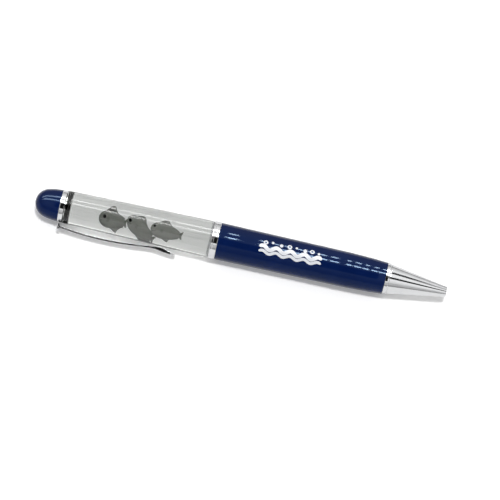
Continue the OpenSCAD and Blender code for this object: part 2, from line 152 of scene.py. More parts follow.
class Shade:
    """A number, colour or vector that changes over a surface. Sums on it add nodes to its finish."""

    def __init__(self, finish, socket):
        self.finish = finish
        self.socket = socket

    def sum(self, operation, first, second=0.0):
        """One Math node, or Vector Math where a colour or vector takes part."""
        numbers = [v for v in (first, second) if isinstance(v, (int, float))]
        shades = [v for v in (first, second) if isinstance(v, Shade)]
        if len(numbers) + len(shades) == 2 and all(v.socket.type == "VALUE" for v in shades):
            return self.finish.node("Math", {"operation": operation}, {0: first, 1: second})
        first, second = [(v, v, v) if isinstance(v, (int, float)) else v for v in (first, second)]
        return self.finish.node("VectorMath", {"operation": operation}, {0: first, 1: second})

    def __add__(self, other):
        return self.sum("ADD", self, other)

    __radd__ = __add__

    def __sub__(self, other):
        return self.sum("SUBTRACT", self, other)

    def __rsub__(self, other):
        return self.sum("SUBTRACT", other, self)

    def __mul__(self, other):
        return self.sum("MULTIPLY", self, other)

    __rmul__ = __mul__

    def __abs__(self):
        return self.sum("ABSOLUTE", self)

    def over(self, low, high):
        """Share of the way from low to high, from 0 to 1, with soft ends."""
        return self.finish.node("MapRange", {"interpolation_type": "SMOOTHSTEP"},
                                {"Value": self, "From Min": low, "From Max": high})


class Finish:
    """The nodes of one finish, on a material or on the world."""

    def __init__(self, name, holder=None):
        self.holder = holder or bpy.data.materials.new(name)
        self.holder.use_nodes = True
        self.tree = self.holder.node_tree
        self.tree.nodes.clear()

    def node(self, kind, settings=None, sockets=None, output=0):
        """Adds one node: its settings first, then the values or links of its sockets."""
        step = self.tree.nodes.new("ShaderNode" + kind)
        for name, setting in (settings or {}).items():
            setattr(step, name, setting)
        for name, value in (sockets or {}).items():
            if isinstance(value, Shade):
                self.tree.links.new(value.socket, step.inputs[name])
            else:
                step.inputs[name].default_value = value
        return Shade(self, step.outputs[output]) if len(step.outputs) else None

    def spot(self):
        """Place on the piece, in metres."""
        return self.node("TexCoord", output="Object")

    def cloud(self, size, detail=3.0, spot=None):
        """Soft noise whose patches are about as wide as size, in millimetres; spot may be stretched."""
        return self.node("TexNoise", {}, {
            "Vector": spot or self.spot(), "Scale": 1 / (size * mm), "Detail": detail}, "Fac")

    def mix(self, share, first, second):
        """Colour between two others; at share 0 it is the first."""
        return self.node("Mix", {"data_type": "RGBA"}, {0: share, 6: first, 7: second}, 2)

    def bump(self, height, depth, strength=1.0):
        """Relief of the surface; depth is in millimetres."""
        return self.node("Bump", {}, {"Height": height, "Distance": depth * mm, "Strength": strength})

    def surface(self, sockets, volume=None):
        """Ends the finish with its shader, and what fills the piece where it is clear."""
        shader = self.node("BsdfPrincipled", {}, sockets)
        self.node("OutputMaterial", {}, {"Surface": shader, **({"Volume": volume} if volume else {})})
        return self.holder


def station_of(finish):
    """Station on the pen, in millimetres, of a surface whose object sits at the origin."""
    spread = finish.node("SeparateXYZ", {}, {0: finish.spot()}, "X")
    return (spread - pen_end.x) * (1 / mm)


def lacquer_finish(name, rims, haze=0.0):
    """Gloss navy lacquer, rubbed along the rims at the given stations; haze dulls its gloss."""
    finish = Finish(name)
    station = station_of(finish)
    thin = finish.cloud(7.0, 2.0).over(0.35, 0.7)
    smear = finish.cloud(2.6, 4.0).over(0.45, 0.75)
    grain = finish.cloud(0.28, 2.0)
    near = 0.0
    for rim in rims:
        near = near + (1 - abs(station - rim).over(0.02, 0.32))
    rub = near * grain.over(0.52, 0.66)
    colour = finish.mix(rub * 0.7, finish.mix(thin * 0.6, navy, navy_thin), navy_rubbed)
    peel = finish.bump(finish.cloud(0.9, 1.0), 0.002, 0.4)
    return finish.surface({
        "Base Color": colour, "Roughness": 0.025 + haze + smear * 0.04 + rub * 0.25, "Normal": peel,
        "Specular IOR Level": 0.18, "Specular Tint": lacquer_gleam, "IOR": 1.5})


def made(name, shape, material, body, nodes, crease=crisp_angle):
    """Builds one piece as a smooth mesh with crisp edges, and fixes it to its body."""
    mesh = bpy.data.meshes.new(name)
    mesh.from_pydata(shape[0], [], shape[1])
    skin = bmesh.new()
    skin.from_mesh(mesh)
    bmesh.ops.recalc_face_normals(skin, faces=skin.faces)
    skin.to_mesh(mesh)
    skin.free()
    mesh.shade_smooth()
    mesh.set_sharp_from_angle(angle=math.radians(crease))
    mesh.materials.append(material)
    piece = bpy.data.objects.new(name, mesh)
    bpy.context.scene.collection.objects.link(piece)
    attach(piece, body)
    if nodes:
        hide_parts(*nodes)
    return piece


cap_section = bow(cap_end_bow, 0, cap_end_bow, 0, cap_bow_join, 26)[:-1]
cap_section += bow(
    cap_rim_station, cap_rim_radius - cap_side_bow, cap_side_bow, cap_bow_join, cap_side_end, 10)
cap_section += eased([cap_section[-1], (cap_rim_station, cap_rim_radius, cap_edge),
                      (cap_rim_station, cap_socket_radius, cap_edge)], 3)[1:]
cap_section += [(cap_socket_station, cap_socket_radius), (cap_socket_station, 0)]
cap_lacquer = lacquer_finish("cap_lacquer", [cap_rim_station], cap_haze)
made("cap_shell", turned(cap_section), cap_lacquer, "upper_half", ["end_cap"])

# Chrome trim: the clip's band and the middle band are rings cut from brass tube, turned, polished and
# plated. The first has a slot for the neck of the clip; the second, with a fine groove, covers the seam at
# which the pen twists. Plating keeps faint turning lines and smears.
plate = (0.75, 0.755, 0.765, 1)
plate_dull = (0.60, 0.605, 0.62, 1)
clip_band_start, clip_band_end = span("clip_band")
clip_band_radius = 5.4
clip_band_bore = 4.0
clip_band_edge = 0.16
clip_slot_half_clock = 14.5
clip_slot_half_height = 0.55
middle_band_start, middle_band_end = span("centre_band")
middle_band_radius = 6.35
middle_band_bore = 5.57
middle_band_edge = 0.12
# Corners of the groove: how far along the band, and how deep.
middle_groove = ((0.55, 0.0), (0.62, 0.05), (0.72, 0.05), (0.79, 0.0))


def chrome_finish(name, line_stretch, haze=0.0):
    """Bright plating. line_stretch squeezes the fine lines of polishing along X, Y and Z."""
    finish = Finish(name)
    spot = finish.spot()
    lines = finish.cloud(0.35, 3.0, spot * line_stretch)
    smear = finish.cloud(2.2, 4.0).over(0.4, 0.8)
    fleck = finish.cloud(0.16, 2.0).over(0.68, 0.78)
    colour = finish.mix(smear * 0.35 + fleck * 0.35, plate, plate_dull)
    relief = finish.bump(lines, 0.0008, 0.3)
    return finish.surface({
        "Base Color": colour, "Metallic": 1.0, "Roughness": 0.035 + haze + lines * 0.03 + smear * 0.04,
        "Normal": relief})


band_chrome = chrome_finish("band_chrome", (3.0, 0.15, 0.15))
clip_band_middle = (clip_band_start + clip_band_end) / 2
slot_start = clip_band_middle - clip_slot_half_height
slot_end = clip_band_middle + clip_slot_half_height
clip_band_section = eased([
    (clip_band_start, clip_band_bore), (clip_band_start, clip_band_radius, clip_band_edge),
    (slot_start, clip_band_radius), (slot_end, clip_band_radius),
    (clip_band_end, clip_band_radius, clip_band_edge), (clip_band_end, clip_band_bore),
    (slot_end, clip_band_bore), (slot_start, clip_band_bore)], 4)
clip_ring = made(
    "clip_ring", turned(clip_band_section, 144), band_chrome, "upper_half", ["clip_band"])
slotted = bmesh.new()
slotted.from_mesh(clip_ring.data)
opening = []
for face in slotted.faces:
    reach = face.calc_center_median() - pen_end
    clock = math.degrees(math.atan2(reach.dot(across), reach.dot(out)))
    upright = abs(face.normal.x) < 0.3
    inside = abs(reach.dot(along) / mm - clip_band_middle) < clip_slot_half_height
    if upright and inside and abs(clock) < clip_slot_half_clock:
        opening.append(face)
bmesh.ops.delete(slotted, geom=opening, context="FACES")
slot_edges = [edge for edge in slotted.edges if edge.is_boundary]
bmesh.ops.bridge_loops(slotted, edges=slot_edges)
bmesh.ops.recalc_face_normals(slotted, faces=slotted.faces)
slotted.to_mesh(clip_ring.data)
slotted.free()
clip_ring.data.set_sharp_from_angle(angle=math.radians(crisp_angle))

middle_section = eased([
    (middle_band_start, middle_band_bore), (middle_band_start, middle_band_radius, middle_band_edge),
    *[(middle_band_start + run, middle_band_radius - deep) for run, deep in middle_groove],
    (middle_band_end, middle_band_radius, middle_band_edge), (middle_band_end, middle_band_bore)], 4)
made("middle_ring", turned(middle_section), band_chrome, "upper_half", ["centre_band"])

# Clip: one strip of spring steel, blanked with a narrow neck and a round end, bent over a form, folded
# into a heel beside the band, tumbled so that its edges are soft, then plated. Its foot is caught inside
# the band, its neck leaves through the slot, and it swells a little where it grips.
strip_thick = 0.7
strip_step = 0.22
strip_edge = 0.14
grip_edge = 0.06
foot_half_width = 1.8
foot_side = 3.85
foot_reach = 9.8
neck_half_width = 1.2
neck_side = 5.75
head_half_width = 2.4
head_station = 9
tip_half_width = 2.0
tip_station = span("clip")[1]
grip_bead = 0.42
grip_bead_station = 44.6
grip_bead_run = 2.6
heel_station = 9.48
heel_half_run = 0.66
heel_half_width = 2.32
heel_edge = 0.24
# Corners of the strip's middle line: station, side, and the radius of the bend.
strip_line = [
    (clip_band_middle, 2.75), (clip_band_middle, 6.8, 0.9), (22.95, 8.665, 102.84), (43.75, 6.537, 8.0),
    (tip_station, 7.961)]
# Rows of the heel: side, and how far its edges draw in there.
heel_rows = ((5.95, 0.0), (7.5, 0.0), (7.72, 0.06), (7.86, 0.15), (7.92, 0.28))


def strip_half_width(station, side):
    """Half the width of the blank at a point of the strip."""
    if station < foot_reach and side < foot_side:
        return foot_half_width
    if station < foot_reach and side < neck_side:
        return neck_half_width
    taper = (tip_half_width - head_half_width) / (tip_station - head_station)
    width = head_half_width + taper * (station - head_station)
    past = station - (tip_station - tip_half_width)
    if past > 0:
        width = min(width, math.sqrt(max(tip_half_width ** 2 - past ** 2, 0.0004)))
    return width


def rounded_bar(half_width, half_thick, rounding, steps=4):
    """Ring of (width, thickness) points of a bar with round edges."""
    rounding = min(rounding, 0.95 * half_width)
    ring = []
    for quarter, (u, v) in enumerate(((1, 1), (-1, 1), (-1, -1), (1, -1))):
        for k in range(steps + 1):
            a = math.radians(90 * (quarter + k / steps))
            ring.append((u * (half_width - rounding) + rounding * math.cos(a),
                         v * (half_thick - rounding) + rounding * math.sin(a)))
    return ring


def lofted(rings):
    """Points and faces of a closed skin through rings of the same number of points."""
    count = len(rings[0])
    points = [point for ring in rings for point in ring]
    faces = [list(range(count))[::-1], [len(points) - count + k for k in range(count)]]
    for i in range(len(rings) - 1):
        for k in range(count):
            n = (k + 1) % count
            faces.append([i * count + k, i * count + n, (i + 1) * count + n, (i + 1) * count + k])
    return points, faces


strip_points = []
bent = eased(strip_line, 24)
for one, two in zip(bent, bent[1:]):
    parts = max(1, math.ceil(math.dist(one, two) / strip_step))
    for k in range(parts):
        strip_points.append(tuple(a + (b - a) * k / parts for a, b in zip(one, two)))
strip_points.append(bent[-1])
strip_rings = []
for i, (station, side) in enumerate(strip_points):
    before = Vector(strip_points[max(i - 1, 0)])
    after = Vector(strip_points[min(i + 1, len(strip_points) - 1)])
    heading = (after - before).normalized()
    bead = grip_bead * math.exp(-((station - grip_bead_station) / grip_bead_run) ** 2)
    edge = strip_edge + (grip_edge - strip_edge) * bead / grip_bead
    strip_rings.append([
        place(station - heading.y * (v + bead / 2), side + heading.x * (v + bead / 2), u)
        for u, v in rounded_bar(strip_half_width(station, side), (strip_thick + bead) / 2, edge)])
heel_rings = [
    [place(heel_station + v, side, u)
     for u, v in rounded_bar(heel_half_width - inset, heel_half_run - inset, heel_edge)]
    for side, inset in heel_rows]
clip_points, clip_faces = lofted(strip_rings)
heel_points, heel_faces = lofted(heel_rings)
clip_faces += [[len(clip_points) + k for k in face] for face in heel_faces]
clip_points += heel_points
clip_chrome = chrome_finish("clip_chrome", (0.12, 2.5, 2.5), 0.02)
made("clip_strip", (clip_points, clip_faces), clip_chrome, "pocket_clip", ["clip"], 40)

# Plugs and seals: a plated brass plug carries the cap on its stem and closes the tube; its flange is bright
# and the part in the bore has darkened. A rubber ring in its groove keeps the oil in. The lower plug is
# moulded in white plastic, with a ring of its own.
plug_bright = (0.70, 0.705, 0.71, 1)
plug_grey = (0.055, 0.056, 0.054, 1)
plug_black = (0.028, 0.028, 0.027, 1)
plug_flange_end = 10.44
plug_dark_start = 10.52
rubber_black = (0.008, 0.008, 0.009, 1)
rubber_bloom = (0.022, 0.022, 0.023, 1)
moulding_white = (0.80, 0.81, 0.82, 1)
moulding_shade = (0.70, 0.71, 0.73, 1)


def dressed(node, material):
    """Gives a piece that keeps its first shape a finish of its own."""
    skin = frame["nodes"][node].data
    skin.materials.clear()
    skin.materials.append(material)


plug_finish = Finish("plug_plating")
turning = plug_finish.cloud(0.3, 2.0, plug_finish.spot() * (4.0, 0.2, 0.2))
plug_dark = plug_finish.mix(plug_finish.cloud(1.5).over(0.3, 0.8), plug_grey, plug_black)
in_bore = station_of(plug_finish).over(plug_flange_end, plug_dark_start)
plug_tone = plug_finish.mix(in_bore, plug_bright, plug_dark)
dressed("top_plug", plug_finish.surface({
    "Base Color": plug_tone, "Metallic": 1.0, "Roughness": 0.12 + turning * 0.1,
    "Normal": plug_finish.bump(turning, 0.003, 0.4)}))

rubber = Finish("seal_rubber")
bloom = rubber.cloud(0.5, 4.0)
dressed("top_seal", rubber.surface({
    "Base Color": rubber.mix(bloom.over(0.4, 0.8), rubber_black, rubber_bloom),
    "Roughness": 0.42 + bloom * 0.2, "Normal": rubber.bump(rubber.cloud(0.12), 0.006, 0.4)}))
dressed("bottom_seal", rubber.holder)

moulded = Finish("white_moulding")
flow = moulded.cloud(1.2, 3.0)
dressed("bottom_plug", moulded.surface({
    "Base Color": moulded.mix(flow.over(0.3, 0.7), moulding_white, moulding_shade),
    "Roughness": 0.32 + flow * 0.15, "Normal": moulded.bump(moulded.cloud(0.2), 0.004, 0.4)}))

# Window tube and oil: a thick clear acrylic tube, a little wider towards the middle of the pen, filled with
# clear mineral oil. The oil wets the bore, so the wall between the two can hardly be seen and both act as
# one lens. Drawing the tube leaves faint lines along it.
tube_start, tube_neck_end = span("window_tube")
tube_end = middle_band_start
tube_start_radius = 5.55
tube_end_radius = 6.2
tube_neck_radius = 5.55
tube_bore = 4.5
tube_start_edge = 0.28
tube_end_edge = 0.06
oil_start, oil_end = span("float_oil")
oil_gap = 0.012
oil_edge = 0.1
acrylic_tint = (0.99, 0.99, 0.988, 1)
acrylic_streak = (0.86, 0.862, 0.858, 1)
oil_tint = (0.86, 0.87, 0.86, 1)
acrylic_density = 150.0
oil_density = 55.0
clear = (1, 1, 1, 1)

acrylic = Finish("clear_acrylic")
smear = acrylic.cloud(3.0, 4.0).over(0.5, 0.8)
draw_lines = acrylic.cloud(1.6, 1.0, acrylic.spot() * (0.08, 1.0, 1.0))
acrylic_body = acrylic.node("VolumeAbsorption", {}, {"Color": oil_tint, "Density": acrylic_density})
streak = acrylic.cloud(0.7, 2.0, acrylic.spot() * (0.03, 1.0, 1.0)).over(0.45, 0.72)
tube_skin = acrylic.surface({
    "Base Color": acrylic.mix(streak, acrylic_tint, acrylic_streak), "Transmission Weight": 1.0,
    "IOR": 1.49, "Roughness": smear * 0.02,
    "Normal": acrylic.bump(draw_lines, 0.004, 0.25)}, acrylic_body)
wetted = Finish("wetted_bore")
film = wetted.cloud(2.5, 2.0)
bore_skin = wetted.surface({
    "Base Color": clear, "Transmission Weight": 1.0, "IOR": 1.008, "Roughness": film * 0.01})
tube_section = eased([
    (tube_start, tube_bore), (tube_start, tube_start_radius, tube_start_edge),
    (tube_end, tube_end_radius, tube_end_edge), (tube_end, tube_neck_radius),
    (tube_neck_end, tube_neck_radius), (tube_neck_end, tube_bore)], 4)
tube = made(
    "tube_wall", turned(tube_section, 192), tube_skin, "upper_half", ["window_tube"])
tube.data.materials.append(bore_skin)
for face in tube.data.polygons:
    reach = face.center - pen_end
    radius = math.hypot(reach.dot(across), reach.dot(out)) / mm
    if radius < tube_bore + oil_gap and abs(face.normal.x) < 0.5:
        face.material_index = 1

oil = Finish("clear_oil")
drift = oil.cloud(9.0, 1.0)
oil_body = oil.node("VolumeAbsorption", {}, {"Color": oil_tint, "Density": oil_density})
oil_skin = oil.surface({
    "Base Color": clear, "Transmission Weight": 1.0, "IOR": 1.004, "Roughness": drift * 0.006}, oil_body)
oil_section = eased([
    (oil_start + oil_gap, 0), (oil_start + oil_gap, tube_bore - oil_gap, oil_edge),
    (oil_end - oil_gap, tube_bore - oil_gap, oil_edge), (oil_end - oil_gap, 0)], 3)
made("oil_fill", turned(oil_section, 96), oil_skin, "upper_half", ["float_oil"])

# Sharks: three small floaters moulded in grey plastic, heads towards the cap, each in a lane of its own in
# the oil. Body, back fin, belly fin, forked tail and the bumps of the eyes are one moulding; the black of
# the eyes, the gills and the mouth are inked on.
shark_length = 10.3
shark_height = 3.3
shark_thick = 1.6
shark_body_share = 0.88
shark_nose_share = 0.38
shark_lane = 1.8
shark_fin_thick = 0.5
# Outlines of the back fin and the tail, in shares of the length: back from the snout, and up.
shark_back_fin = [
    (0.13, 0.11), (0.22, 0.17), (0.32, 0.24), (0.42, 0.275), (0.50, 0.265), (0.56, 0.20), (0.70, 0.10)]
shark_tail = [
    (0.80, 0.04), (0.88, 0.05), (0.95, 0.09), (0.99, 0.10), (0.968, 0.04), (0.958, 0.0),
    (0.965, -0.04), (0.977, -0.085), (0.93, -0.08), (0.88, -0.05), (0.80, -0.04)]
# Corners of the belly fin: share of the length, share of its run behind the tip, share of its depth.
shark_belly_fin = [
    (0.21, 0, 0), (0.34, 0, 0.47), (0.46, 0, 0.81), (0.57, 0, 1), (0.59, 0.5, 0.56), (0.65, 1, 0)]
shark_belly_line = 0.1
# Layers across a fin: how large its outline is there, and the place in its thickness, as shares.
shark_fin_layers = ((0.86, -0.5), (0.95, -0.34), (1.0, 0), (0.95, 0.34), (0.86, 0.5))
# Rings of the eye: radius, and how far it stands out of the head.
shark_eye_rings = ((0.4, -0.15), (0.4, 0.08), (0.3, 0.14), (0.14, 0.17))
shark_eye_stretch = 1.3
shark_eye_sides = 20
shark_gills = (-2.05, -1.72, -1.39)
shark_gill_line = 0.15
shark_gill_bend = 0.22
shark_mouth_ahead = -4.3
shark_mouth_high = -0.62
shark_mouth_slope = 0.16
shark_mouth_corner = -3.7
shark_body_rings = 44
shark_first_ring = 0.002
shark_ring_crowding = 1.5
shark_body_sides = 32
shark_builds = {
    "front": {
        "size": 0.95, "depth": 1.06, "root": 0.55, "eye": (-3.2, 0.35), "belly": (0.10, 0.03, 0.23)},
    "middle": {
        "size": 1.06, "depth": 1.15, "root": 0.55, "eye": (-4.15, 0.05), "belly": (0.03, 0.29, 0.235)},
    "rear": {
        "size": 1.08, "depth": 1.22, "root": 0.42, "eye": (-4.0, 0.75), "belly": (0.0, 0.02, 0.245)}}
# Place of each shark: station, side, lift, and the lean of its head, in degrees.
shark_places = {
    "front": (26.77, 0.5, shark_lane, 1.0),
    "middle": (36.5, 1.36, 0.0, 21.0),
    "rear": (45.14, 0.65, -shark_lane, 2.5)}
shark_back_grey = (0.24, 0.247, 0.226, 1)
shark_belly_grey = (0.318, 0.324, 0.302, 1)
shark_rim_painted_shade = (0.06, 0.062, 0.056, 1)
ink_dark = (0.012, 0.012, 0.012, 1)
eye_black = (0.002, 0.002, 0.002, 1)
eye_gleam = (0.006, 0.006, 0.006, 1)
view_clock = 270.0

hide = Finish("shark_plastic")
spot = hide.spot()
ahead = hide.node("SeparateXYZ", {}, {0: spot}, "X") * (1 / mm)
high = hide.node("SeparateXYZ", {}, {0: spot}, "Z") * (1 / mm)
mottle = hide.cloud(0.8, 4.0)
shade = (high + (mottle - 0.5) * 0.8).over(-1.3, 0.5)
# Painted shade: the grey darkens where the shark is thin, towards the outline of its body and on its fins,
# where the sides turn away from the light.
thick = abs(hide.node("SeparateXYZ", {}, {0: spot}, "Y")) * (1 / mm)
rim = 1 - thick.over(0.05, 0.5)
grey = hide.mix(rim * 0.4, hide.mix(shade, shark_belly_grey, shark_back_grey), shark_rim_painted_shade)
inked = 0.0
for gill in shark_gills:
    rise = high + shark_gill_line
    line = 1 - abs(ahead - gill + rise * rise * shark_gill_bend).over(0.04, 0.1)
    inked = inked + line * (1 - abs(rise).over(0.4, 0.62))
lips = high - shark_mouth_high - (ahead - shark_mouth_ahead) * shark_mouth_slope
mouth = 1 - abs(lips).over(0.05, 0.11)
inked = inked + mouth * (1 - (ahead - shark_mouth_corner).over(0.0, 0.3))
shark_plastic = hide.surface({
    "Base Color": hide.mix(inked * 0.55, grey, ink_dark), "Roughness": 0.48 + mottle * 0.15,
    "Normal": hide.bump(hide.cloud(0.15, 2.0), 0.012, 0.5)})
eye_ink = Finish("eye_ink")
gleam = eye_ink.cloud(0.2)
shark_eye = eye_ink.surface({
    "Base Color": eye_ink.mix(gleam, eye_black, eye_gleam), "Roughness": 0.2 + gleam * 0.1})


def shark_fullness(u, root):
    """Fullness of the body along its length, from the blunt snout to the root of the tail."""
    if u < shark_nose_share:
        return math.sqrt(max(1 - (1 - u / shark_nose_share) ** 2, 0))
    fall = math.cos(math.pi / 2 * (u - shark_nose_share) / (1 - shark_nose_share))
    return root + (1 - root) * max(fall, 0) ** 0.9


def smoothed(corners, steps=4):
    """Closed outline through the corners with soft curves between them."""
    outline = []
    for i in range(len(corners)):
        p, q, r, s = (Vector(corners[(i + k) % len(corners)]) for k in (-1, 0, 1, 2))
        for k in range(steps):
            t = k / steps
            outline.append(0.5 * (2 * q + (r - p) * t + (2 * p - 5 * q + 4 * r - s) * t ** 2
                                  + (3 * q - p - 3 * r + s) * t ** 3))
    return outline


def belly_fin(back_by, run_on, drop):
    """Outline of the belly fin: how far back it sits, how far it runs on behind its tip, and its depth."""
    return [(share + back_by + run * run_on, -shark_belly_line - (drop - shark_belly_line) * deep)
            for share, run, deep in shark_belly_fin]


def shark_shape(size, depth, root, eye, belly):
    """Points and faces of one shark about the middle of its length: tail to +X, back to +Z."""
    reach = mm * size
    points, faces = [], []

    def add(part):
        base = len(points)
        points.extend(part[0])
        faces.extend([[base + k for k in face] for face in part[1]])

    rings = []
    for i in range(shark_body_rings + 1):
        u = shark_first_ring + (1 - shark_first_ring) * (i / shark_body_rings) ** shark_ring_crowding
        full = shark_fullness(u, root)
        ring = []
        for k in range(shark_body_sides):
            a = 2 * math.pi * k / shark_body_sides
            ring.append(reach * Vector((
                shark_length * (shark_body_share * u - 0.5), shark_thick / 2 * full * math.cos(a),
                shark_height / 2 * depth * full * math.sin(a))))
        rings.append(ring)
    add(lofted(rings))
    for corners in (shark_back_fin, belly_fin(*belly), shark_tail):
        outline = smoothed(corners)
        centre = sum(outline, Vector((0, 0))) / len(outline)
        layers = []
        for shrink, side in shark_fin_layers:
            layers.append([
                reach * Vector((shark_length * (p.x - 0.5), side * shark_fin_thick, shark_length * p.y))
                for p in (centre + (q - centre) * shrink for q in outline)])
        add(lofted(layers))
    skin_faces = len(faces)
    for side in (-1, 1):
        rings = []
        full = shark_fullness((eye[0] / shark_length + 0.5) / shark_body_share, root)
        half = shark_height / 2 * depth * full
        skin = shark_thick / 2 * full * math.sqrt(max(1 - (eye[1] / half) ** 2, 0.1))
        for radius, rise in shark_eye_rings:
            rings.append([
                reach * Vector((eye[0] + shark_eye_stretch * radius * math.cos(a), side * (skin + rise),
                                eye[1] + radius * math.sin(a)))
                for a in (2 * math.pi * k / shark_eye_sides for k in range(shark_eye_sides))])
        add(lofted(rings))
    return (points, faces), skin_faces


def round_pen(clock):
    """Direction square to the pen at a clock angle: 0 faces the clip, 270 whoever looks at the sharks."""
    return math.cos(math.radians(clock)) * out + math.sin(math.radians(clock)) * across


for name, (station, side, lift, lean) in shark_places.items():
    shape, skin_faces = shark_shape(**shark_builds[name])
    shark = made(
        name + "_floater", shape, shark_plastic, name + "_shark", ["shark_" + name], 50)
    shark.data.materials.append(shark_eye)
    for face in shark.data.polygons[skin_faces:]:
        face.material_index = 1
    slope = math.radians(lean)
    down = round_pen(view_clock + 90)
    tail = math.cos(slope) * along + math.sin(slope) * down
    back = math.sin(slope) * along - math.cos(slope) * down
    pose = Matrix((tail, back.cross(tail), back)).transposed().to_4x4()
    pose.translation = place(station) + mm * (side * down - lift * round_pen(view_clock))
    shark.matrix_world = pose

# Twist mechanism: a steel core fixed to the lower plug, a nylon washer, a spring ring, and a brass sleeve
# with a helical slot that is pressed into the barrel and drives the lug of the refill's carriage.
steel_shade = (0.50, 0.51, 0.53, 1)
steel_light = (0.62, 0.63, 0.65, 1)
brass_bright = (0.78, 0.57, 0.25, 1)
brass_tarnish = (0.52, 0.36, 0.15, 1)
steel = Finish("turned_steel")
tool_marks = steel.cloud(0.3, 2.0, steel.spot() * (4.0, 0.3, 0.3))
turned_steel = steel.surface({
    "Base Color": steel.mix(tool_marks, steel_shade, steel_light), "Metallic": 1.0,
    "Roughness": 0.22 + tool_marks * 0.12, "Normal": steel.bump(tool_marks, 0.003, 0.4)})
for node in ("twist_core", "retaining_ring", "drive_lug"):
    dressed(node, turned_steel)
dressed("friction_washer", moulded.holder)
dressed("refill_carriage", moulded.holder)
brass = Finish("drawn_brass")
tarnish = brass.cloud(1.4, 4.0).over(0.45, 0.8)
draw = brass.cloud(0.25, 2.0, brass.spot() * (0.1, 1.0, 1.0))
drawn_brass = brass.surface({
    "Base Color": brass.mix(tarnish, brass_bright, brass_tarnish), "Metallic": 1.0,
    "Roughness": 0.2 + tarnish * 0.15 + draw * 0.08, "Normal": brass.bump(draw, 0.002, 0.4)})
dressed("cam_sleeve", drawn_brass)

# Refill: a standard metal ballpoint refill. A drawn brass tube holds the ink, its turned tip holds a hard
# steel ball, and it hangs in the carriage, its point inside the nose until the pen is twisted.
tip_shade = (0.62, 0.58, 0.48, 1)
tip_light = (0.74, 0.70, 0.60, 1)
ink_deep = (0.004, 0.006, 0.05, 1)
ink_thin = (0.008, 0.011, 0.08, 1)
dressed("refill_tube", drawn_brass)
tip_finish = Finish("tip_silver")
cut = tip_finish.cloud(0.2, 2.0, tip_finish.spot() * (5.0, 0.3, 0.3))
dressed("refill_tip", tip_finish.surface({
    "Base Color": tip_finish.mix(cut, tip_shade, tip_light), "Metallic": 1.0,
    "Roughness": 0.16 + cut * 0.12, "Normal": tip_finish.bump(cut, 0.002, 0.4)}))
dressed("writing_ball", turned_steel)
ink = Finish("writing_ink")
settle = ink.cloud(1.0)
dressed("ink_column", ink.surface({
    "Base Color": ink.mix(settle, ink_deep, ink_thin), "Roughness": 0.1 + settle * 0.1}))

# Lower barrel: a plastic barrel in the same navy lacquer, nearly straight and then shouldered towards the
# nose. It turns on the upper half. A white ornament of waves and bubbles is pad-printed on the side that
# faces up.
barrel_start, barrel_end = span("lower_barrel")
barrel_start_radius = 6.2
barrel_shoulder = 104.0
barrel_shoulder_radius = 5.92
barrel_end_radius = 5.3
barrel_bore = 4.3
barrel_step = 80.06
barrel_waist = 3.0
nose_socket = 111.34
nose_socket_radius = 3.97
barrel_edge = 0.1
barrel_edge_bow = 0.03
barrel_rows = 47


def barrel_radius(station):
    """Outside of the barrel at a station."""
    if station < barrel_shoulder:
        share = (station - barrel_start) / (barrel_shoulder - barrel_start)
        return barrel_start_radius + (barrel_shoulder_radius - barrel_start_radius) * share
    run = station - barrel_shoulder
    fall = (barrel_start_radius - barrel_shoulder_radius) / (barrel_shoulder - barrel_start)
    length = barrel_end - barrel_shoulder
    sag = (barrel_shoulder_radius - barrel_end_radius - fall * length) / length ** 2
    return barrel_shoulder_radius - fall * run - sag * run * run


barrel_section = [(barrel_start, barrel_bore), (barrel_start, barrel_start_radius - barrel_edge),
                  (barrel_start + barrel_edge_bow, barrel_start_radius - barrel_edge_bow)]
for k in range(barrel_rows + 1):
    station = barrel_start + barrel_edge + (barrel_end - barrel_start - 2 * barrel_edge) * k / barrel_rows
    barrel_section.append((station, barrel_radius(station)))
barrel_section += [
    (barrel_end - barrel_edge_bow, barrel_end_radius - barrel_edge_bow),
    (barrel_end, barrel_end_radius - barrel_edge), (barrel_end, nose_socket_radius),
    (nose_socket, nose_socket_radius), (nose_socket, barrel_waist),
    (barrel_step, barrel_waist), (barrel_step, barrel_bore)]
barrel_lacquer = lacquer_finish("barrel_lacquer", [barrel_start, barrel_end])
made("barrel_shell", turned(barrel_section), barrel_lacquer, "lower_half", ["lower_barrel"])

print_start = 76.2
print_end = 97.4
print_clock = view_clock - 13.5
print_height = 0.02
print_sunk = -0.02
# Wave lines: height of the line, half its width, and its swell. Bubbles: share of the run, height,
# radius and hole.
print_waves = ((-1.62, 0.48, 0.42), (-0.12, 0.66, 0.6))
print_wave_count = 4.5
print_wave_steps = 120
print_taper_steps = 5
print_end_share = 0.02
print_bubbles = (
    (0.09, 1.72, 0.78, 0.34), (0.20, 2.1, 0.46, 0.0), (0.34, 1.72, 0.6, 0.0), (0.47, 1.95, 0.8, 0.34),
    (0.58, 2.1, 0.42, 0.0), (0.72, 1.72, 0.64, 0.0), (0.83, 2.0, 0.78, 0.34), (0.94, 1.72, 0.46, 0.0))
print_bubble_sides = 28
print_least_hole = 0.02
print_white = (0.72, 0.74, 0.78, 1)
print_worn = (0.55, 0.58, 0.66, 1)


def printed(station, rise, height=print_height):
    """Point on the barrel's skin: rise is millimetres up the picture from the middle of the print."""
    radius = barrel_radius(station) + height
    clock = math.radians(print_clock) - rise / radius
    return place(station, radius * math.cos(clock), radius * math.sin(clock))


def inked_row(row):
    """Points of the ink across a stroke, with both edges sunk into the lacquer."""
    return [printed(*row[0], print_sunk)] + [printed(*p) for p in row] + [printed(*row[-1], print_sunk)]


